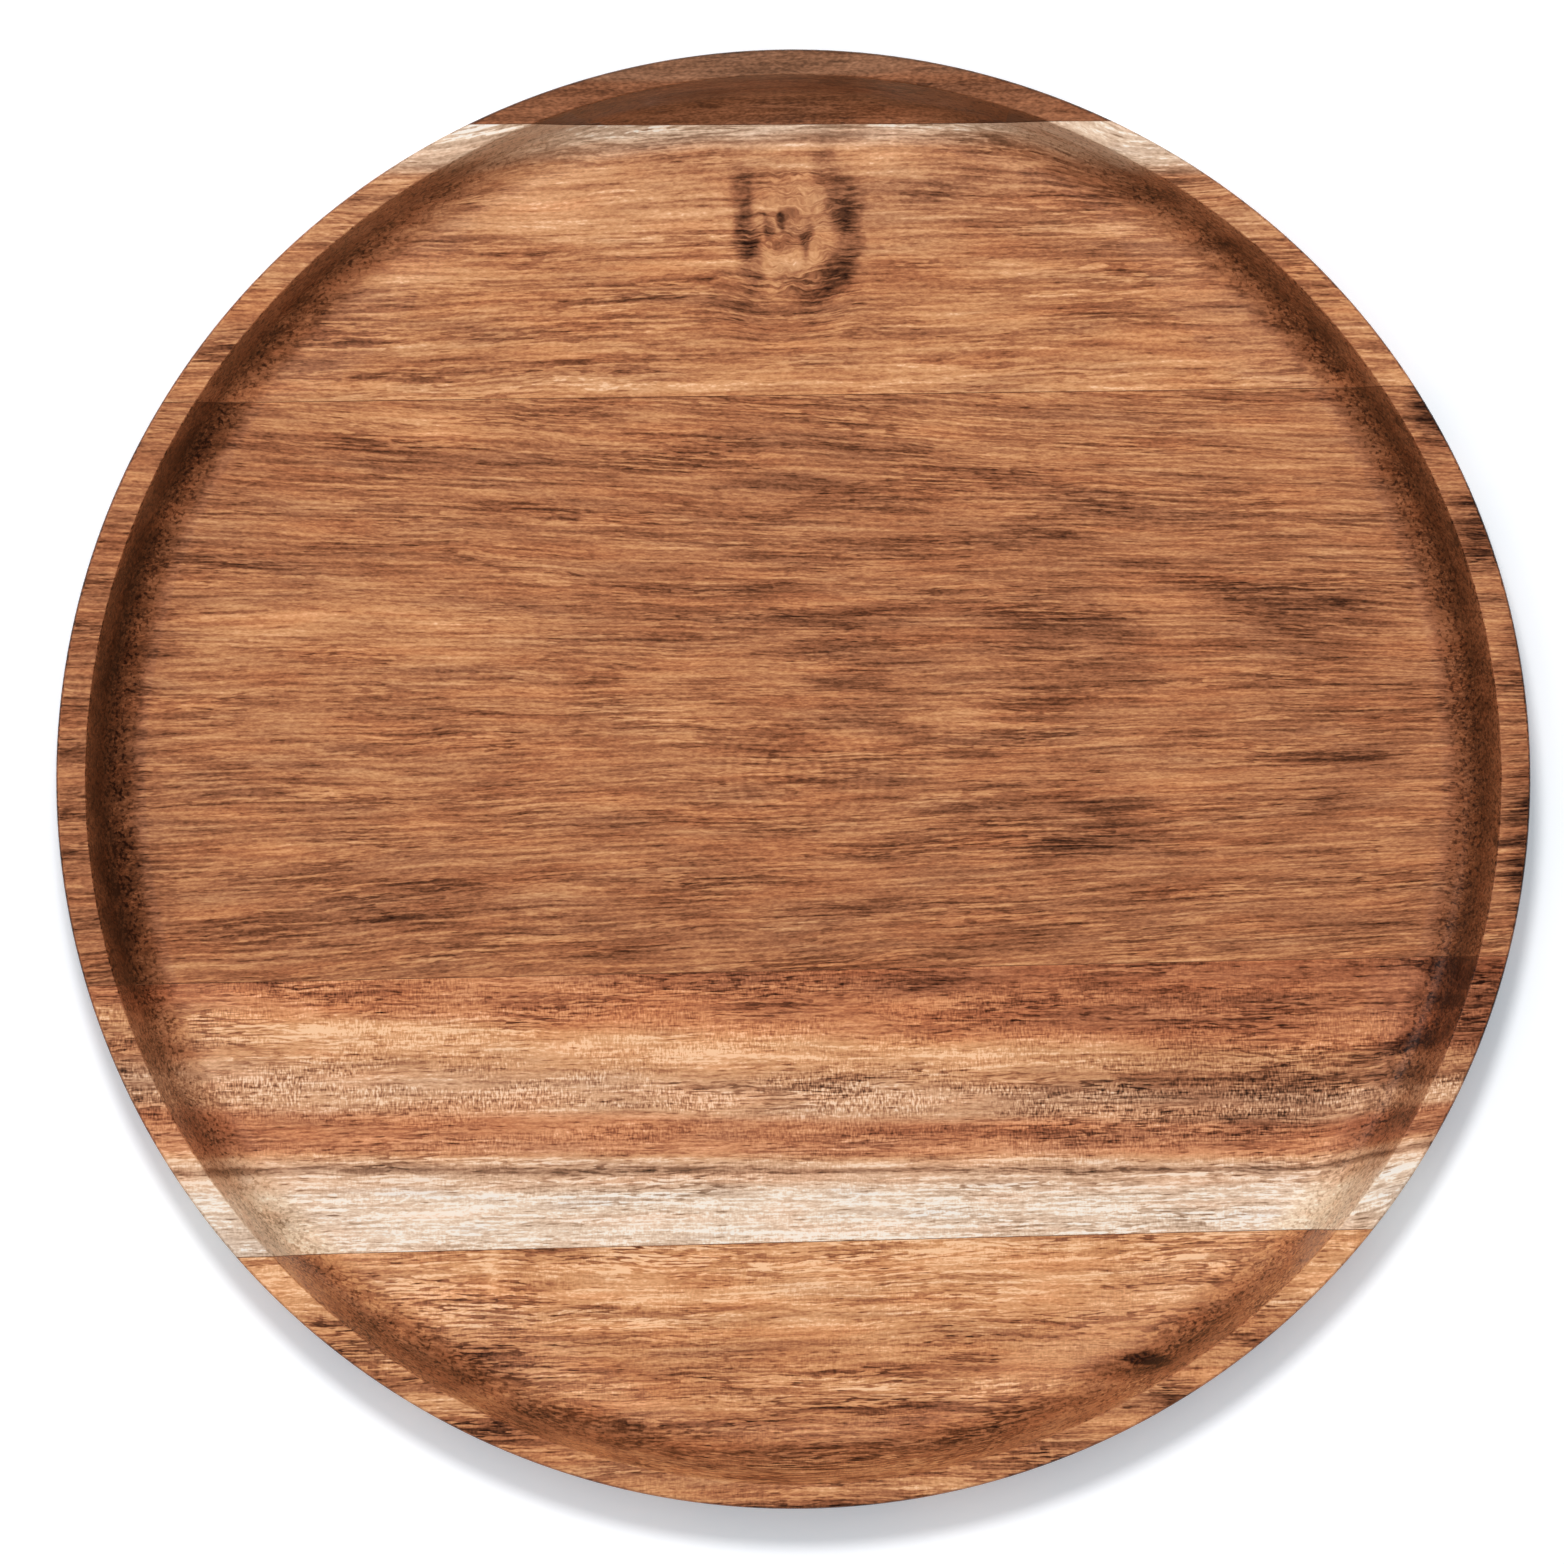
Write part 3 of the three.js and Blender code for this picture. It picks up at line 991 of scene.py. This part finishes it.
# %% Centre board
CENTRE_STAVE = {
    "seed": (13.0, -21.0, 5.0), "draw": 0.6, "wave": 5.0,
    "pith": (9.0, 13.6, 0.343), "fan": (9.0, 0.28),
    "fray_size": (16.0, 3.0, 3.0), "fray": (16.0, 4.0, 0.0),
    "clouds": 0.25, "streaks": (0.12, 0.25, 0.45), "lines": (0.22, 0.3, 0.3),
    "pore_size": (7.0, 0.5, 0.5), "pores": 0.2,
    "rings": [
        (0.0, 0.63), (17.0, 0.64), (21.0, 0.60), (24.5, 0.64), (30.0, 0.58), (34.0, 0.63),
        (40.0, 0.57), (45.0, 0.63), (51.0, 0.61), (55.0, 0.59), (58.0, 0.60), (62.0, 0.51),
        (66.0, 0.62), (80.0, 0.63), (140.0, 0.63),
    ],
    "sapwood": [(0.0, 0.0), (140.0, 0.0)],
    "patches": [
        (50.0, 69.5, 26.0, 4.0, -12.0, -0.16),
        (105.0, 40.5, 26.0, 5.0, -10.0, -0.17),
        (12.0, 31.1, 16.0, 5.0, 0.0, -0.11),
        (54.6, 33.0, 26.0, 6.0, -8.0, -0.17),
        (116.0, 8.6, 12.0, 3.5, 0.0, 0.08),
        (15.0, 14.5, 15.0, 5.0, 0.0, -0.15),
        (113.0, -41.0, 26.0, 6.0, 0.0, -0.12),
        (70.0, 63.0, 22.0, 5.0, -6.0, -0.10),
        (115.2, 2.0, 14.0, 3.5, 0.0, -0.09),
        (60.0, -18.0, 22.0, 8.0, 8.0, -0.15),
        (66.0, 24.7, 18.0, 5.0, 0.0, -0.14),
        (28.0, -24.7, 16.0, 4.0, 0.0, -0.12),
        (63.0, -8.5, 16.0, 4.0, 0.0, -0.18),
        (32.0, 39.5, 18.0, 4.0, -6.0, -0.13),
        (41.0, 16.0, 14.0, 4.0, 0.0, 0.08),
        (-27.0, 69.0, 18.0, 3.5, 0.0, 0.12),
        (24.0, 1.8, 14.0, 3.5, 0.0, 0.12),
        (-19.0, -36.0, 20.0, 4.0, 0.0, -0.13),
        (46.0, 30.0, 14.0, 4.0, 0.0, -0.12),
        (9.0, 22.0, 14.0, 4.0, 0.0, -0.13),
        (8.0, -32.0, 16.0, 4.0, 0.0, -0.12),
        (17.0, 36.5, 16.0, 4.0, 0.0, -0.12),
        (-45.0, 46.6, 18.0, 4.0, 0.0, 0.10),
        (28.0, -45.0, 18.0, 4.0, 0.0, 0.09),
        (-65.8, -2.1, 16.0, 6.0, 0.0, -0.08),
        (-4.1, 35.5, 14.0, 4.5, 0.0, -0.09),
        (2.5, 75.9, 34.0, 4.0, 0.0, -0.12),
        (20.0, 83.0, 20.0, 3.0, 0.0, 0.07),
        (-76.3, -26.4, 26.0, 8.0, 12.0, -0.09),
        (-91.6, 32.8, 60.0, 11.0, 0.0, 0.12),
        (79.7, 76.0, 50.0, 5.0, 0.0, 0.08),
        (-28.9, 13.5, 20.0, 5.0, 0.0, 0.08),
        (-66.0, 76.8, 44.0, 5.0, 0.0, 0.12),
        (142.0, 62.0, 10.0, 20.0, 0.0, -0.24),
        (151.0, -24.0, 9.0, 34.0, 0.0, -0.34),
        (151.0, 28.0, 9.0, 26.0, 0.0, -0.18),
        (133.0, 91.0, 10.0, 13.0, 0.0, -0.36),
        (-140.0, 0.0, 18.0, 90.0, 0.0, -0.08),
    ],
}
dress_board("centre_stave", CENTRE_STAVE)

# %% [markdown]
# ## The sapwood board
#
# This board was cut at the edge of the heartwood. From back to front it goes from red brown to
# a peach band, a grey band full of rays, red brown again, a dark line, and cream sapwood.

# %% Sapwood board
SAPWOOD_STAVE = {
    "seed": (90.0, 3.0, -17.0), "draw": 0.3, "wave": 2.0, "slope": (-80.0, -0.012, -0.0013),
    "bends": [(142.0, -78.0, 40.0, 28.0, 0.0, -5.0)],
    "fray_size": (16.0, 3.0, 3.0), "fray": (16.0, 4.0, 0.0),
    "clouds": 0.2, "streaks": (0.12, 0.2, 0.4), "lines": (0.16, 0.28, 0.45),
    "pore_size": (5.0, 0.55, 0.55), "pores": 0.3,
    "rays": [
        (-98.0, 0.3), (-80.0, 0.3), (-76.0, 0.7), (-69.0, 0.9), (-67.0, 1.7), (-62.5, 1.7),
        (-60.0, 0.9), (-50.0, 0.8), (-38.0, 0.4),
    ],
    "rings": [
        (-98.0, 0.97), (-84.5, 0.97), (-82.5, 0.95), (-80.9, 0.96), (-80.3, 0.66), (-79.5, 0.56),
        (-79.0, 0.88), (-78.0, 0.96), (-77.2, 0.86), (-76.3, 0.80), (-74.5, 0.75), (-71.5, 0.69),
        (-68.0, 0.84), (-64.5, 0.87), (-61.5, 0.82), (-59.0, 0.82), (-56.8, 0.96), (-54.5, 0.97),
        (-53.0, 0.90), (-51.0, 0.79), (-48.0, 0.67), (-44.5, 0.72), (-42.0, 0.66), (-40.0, 0.54),
        (-38.0, 0.57), (-36.8, 0.62), (-34.0, 0.51),
    ],
    "sapwood": [
        (-98.0, 1.0), (-84.5, 0.95), (-82.0, 0.6), (-80.0, 0.6), (-78.4, 0.4), (-77.0, 0.1),
        (-70.5, 0.05), (-68.0, 0.25), (-63.5, 0.35), (-60.0, 0.1), (-53.0, 0.0), (-38.0, 0.0),
    ],
    "russet": [
        (-98.0, 0.0), (-77.5, 0.0), (-76.0, 1.0), (-70.0, 1.0), (-68.0, 0.0), (-53.5, 0.0),
        (-51.0, 1.0), (-34.0, 1.0),
    ],
    "patches": [
        (75.0, -49.5, 60.0, 6.0, 0.0, -0.15),
        (80.0, -58.5, 50.0, 6.0, -2.0, -0.18),
        (102.0, -70.5, 24.0, 5.0, 0.0, -0.15),
        (25.0, -71.8, 24.0, 4.0, 0.0, -0.13),
        (-99.0, -41.0, 14.0, 3.0, 0.0, 0.11),
        (86.0, -64.0, 46.0, 4.5, -2.0, -0.25),
        (70.0, -67.5, 60.0, 6.0, -1.0, -0.12),
        (120.0, -58.0, 14.0, 2.5, 15.0, -0.25),
        (108.0, -61.0, 28.0, 5.0, 0.0, -0.16),
        (-112.0, -92.0, 10.0, 9.0, 0.0, -0.15),
        (-128.0, -74.0, 10.0, 8.0, 0.0, 0.08),
        (141.0, -58.0, 13.0, 26.0, 0.0, -0.26),
        (130.0, -76.0, 10.0, 8.0, 0.0, -0.14),
        (-140.0, -52.0, 22.0, 20.0, 0.0, -0.18),
        (70.0, -74.5, 34.0, 3.5, -2.0, -0.13),
        (-104.0, -54.7, 16.0, 5.0, 0.0, 0.12),
        (128.0, -60.0, 18.0, 12.0, 0.0, -0.12),
        (22.0, -42.5, 26.0, 4.0, 0.0, -0.13),
    ],
}
dress_board("sapwood_stave", SAPWOOD_STAVE)

# %% [markdown]
# ## The front board
#
# A golden board with short dashes. Bars across the grain shine where the fibres wave.

# %% Front board
FRONT_STAVE = {
    "seed": (-8.0, -66.0, 23.0), "draw": 2.0, "wave": 5.0, "slope": (-120.0, 0.0, 0.0),
    "fray_size": (12.0, 3.0, 3.0), "fray": (8.0, 3.0, 0.0),
    "clouds": 0.45, "streaks": (0.2, 0.25, 0.4), "lines": (0.26, 0.44, 0.56),
    "pore_size": (4.5, 0.6, 0.6), "pores": 0.3,
    "rays": [(-149.0, 0.3), (-94.0, 0.3)],
    "rings": [
        # The two rings at the front edge of the rim are dark as painted shade on its rounded outer
        # edge.
        (-148.5, 0.36), (-147.2, 0.56), (-145.8, 0.80), (-143.0, 0.72), (-131.0, 0.68),
        (-127.5, 0.78), (-124.5, 0.90), (-121.5, 0.70), (-118.5, 0.72), (-115.0, 0.71),
        (-110.5, 0.86), (-106.0, 0.93), (-102.0, 0.95), (-97.0, 0.94), (-94.0, 0.98),
    ],
    "sapwood": [(-149.0, 0.0), (-94.0, 0.0)],
    # The front wall's tone: painted light next to the rim, where the wall faces the light, and painted
    # shade lower down in the cove.
    "long_wall_light_and_shade": [
        (-0.3, 0.0), (0.0, -0.20), (1.5, -0.13), (2.5, -0.05), (3.5, 0.13), (4.5, 0.19),
        (5.5, 0.20), (6.5, 0.20), (7.5, 0.13), (8.5, 0.05), (9.5, 0.0), (12.0, 0.0),
    ],
    "patches": [
        (70.6, -118.8, 8.0, 2.2, 0.0, -0.24),
        (90.9, -115.5, 3.5, 1.6, 0.0, -0.28),
        (-63.3, -99.8, 2.5, 8.0, 0.0, 0.14),
        (76.0, -126.5, 12.0, 5.0, 0.0, -0.16),
        (26.0, -144.6, 22.0, 2.6, 0.0, 0.10),
        (-58.0, -100.0, 1.8, 7.0, 0.0, -0.06),
        (62.0, -97.5, 16.0, 3.0, 0.0, 0.16),
        (14.0, -118.8, 14.0, 3.0, 0.0, 0.12),
        (39.0, -111.7, 14.0, 3.0, 0.0, 0.10),
        (34.0, -119.5, 10.0, 3.0, 0.0, -0.12),
        (52.0, -138.0, 15.0, 5.0, 0.0, -0.13),
        (0.0, -146.0, 20.0, 3.5, 0.0, 0.09),
        (-94.0, -111.0, 13.0, 9.0, 0.0, -0.11),
        (-62.0, -131.0, 20.0, 6.0, 0.0, -0.07),
    ],
}
dress_board("front_stave", FRONT_STAVE)

# %% [markdown]
# ## The glue lines
#
# Cured wood glue is brown and slightly glossy. It took in dust where it was squeezed out, so its
# colour changes along the joint.

# %% Glue lines
GLUE_DARK = "#5a3420"
GLUE_LIGHT = "#83543a"
DUST_SIZE = (9.0, 3.0, 3.0)
DUST_EDGE = (-0.15, 0.15)
DUST_ROUGHNESS = 0.2
DUST_RELIEF = 0.2
DUST_DEPTH = 0.0001
GLUE_ROUGHNESS = 0.45
GLUE_GLOSS = 0.2

glue_paint = bpy.data.materials.new("cured_glue")
glue_paint.use_nodes = True
glue_tree = glue_paint.node_tree
glue_tree.nodes.clear()
glue_place = node(glue_tree, "ShaderNodeTexCoord", {}).outputs["Object"]
glue_place = vector_maths(glue_tree, "MULTIPLY", glue_place, IN_MM)
dust = grain_noise(glue_tree, glue_place, DUST_SIZE)
dusty = smooth_step(glue_tree, dust, *DUST_EDGE)
glue_colour = mix_colour(glue_tree, dusty, paint(GLUE_DARK), paint(GLUE_LIGHT))
glue_roughness = maths(glue_tree, "MULTIPLY_ADD", dusty, DUST_ROUGHNESS, GLUE_ROUGHNESS)
glue_bump = node(
    glue_tree, "ShaderNodeBump",
    {"Height": dust, "Strength": DUST_RELIEF, "Distance": DUST_DEPTH},
)
glue_shader = node(
    glue_tree, "ShaderNodeBsdfPrincipled",
    {
        "Base Color": glue_colour, "Roughness": glue_roughness, "Specular IOR Level": GLUE_GLOSS,
        "Normal": glue_bump.outputs["Normal"],
    },
)
node(glue_tree, "ShaderNodeOutputMaterial", {"Surface": glue_shader.outputs[0]})
for joint, film in glue_lines.items():
    film.data.materials.append(glue_paint)
    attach(film, "root")
    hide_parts(joint)
print("glue films:", len(glue_lines))
